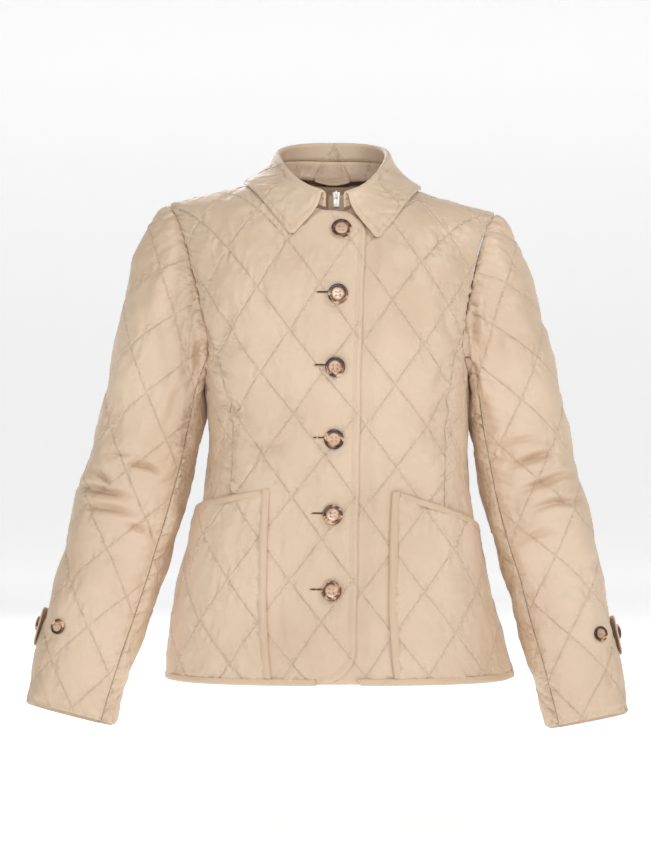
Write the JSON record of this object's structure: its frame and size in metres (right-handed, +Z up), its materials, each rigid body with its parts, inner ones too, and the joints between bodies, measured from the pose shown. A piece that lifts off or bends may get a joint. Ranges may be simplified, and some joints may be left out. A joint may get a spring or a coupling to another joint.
{
  "type": "quilted jacket",
  "caption": "Fitted diamond-quilted jacket with turn-down collar, buttoned overlap over a hidden zip, large patch pockets and tabbed cuffs, in its worn form.",
  "frame": {"origin": "middle of the neck opening at the height of the shoulders, where a wearer or a hanger carries the jacket", "axes": "+Z up, -Y is the buttoned front, +X towards the wearer's left sleeve"},
  "size_m": [0.7128, 0.2488, 0.7069],
  "materials": {
    "cloth": "smooth light polyester with a soft sheen, quilted over wadding",
    "trim": "the same cloth as narrow folded strips and zip tape",
    "horn": "polished mottled brown, like horn",
    "metal": "bright nickel"
  },
  "bodies": {
    "jacket": {"front_right": "cloth", "front_left": "cloth", "side_right": "cloth", "side_left": "cloth", "back": "cloth", "collar_stand": "cloth", "collar_leaf": "cloth", "sleeve_top_right": "cloth", "sleeve_under_right": "cloth", "sleeve_top_left": "cloth", "sleeve_under_left": "cloth", "pocket_right": "cloth", "pocket_left": "cloth", "cuff_tab_right": "cloth", "cuff_tab_left": "cloth", "pocket_binding_right": "trim", "pocket_binding_left": "trim", "pocket_mouth_right": "trim", "pocket_mouth_left": "trim", "hem_binding": "trim", "zip_tape_right": "trim", "zip_tape_left": "trim", "hanger_loop": "trim", "button_1": "horn", "button_2": "horn", "button_3": "horn", "button_4": "horn", "button_5": "horn", "button_6": "horn", "cuff_button_end_right": "horn", "cuff_button_front_right": "horn", "cuff_button_end_left": "horn", "cuff_button_front_left": "horn", "zip_slider": "metal"},
    "pull": {"zip_pull": "metal"}
  },
  "joints": [
    {"name": "pull_swing", "type": "hinge", "parent": "jacket", "child": "pull", "pos_m": [-0.001, -0.0844, -0.01034], "axis": [-1, 0, 0], "range_deg": [0, 110]}
  ]
}
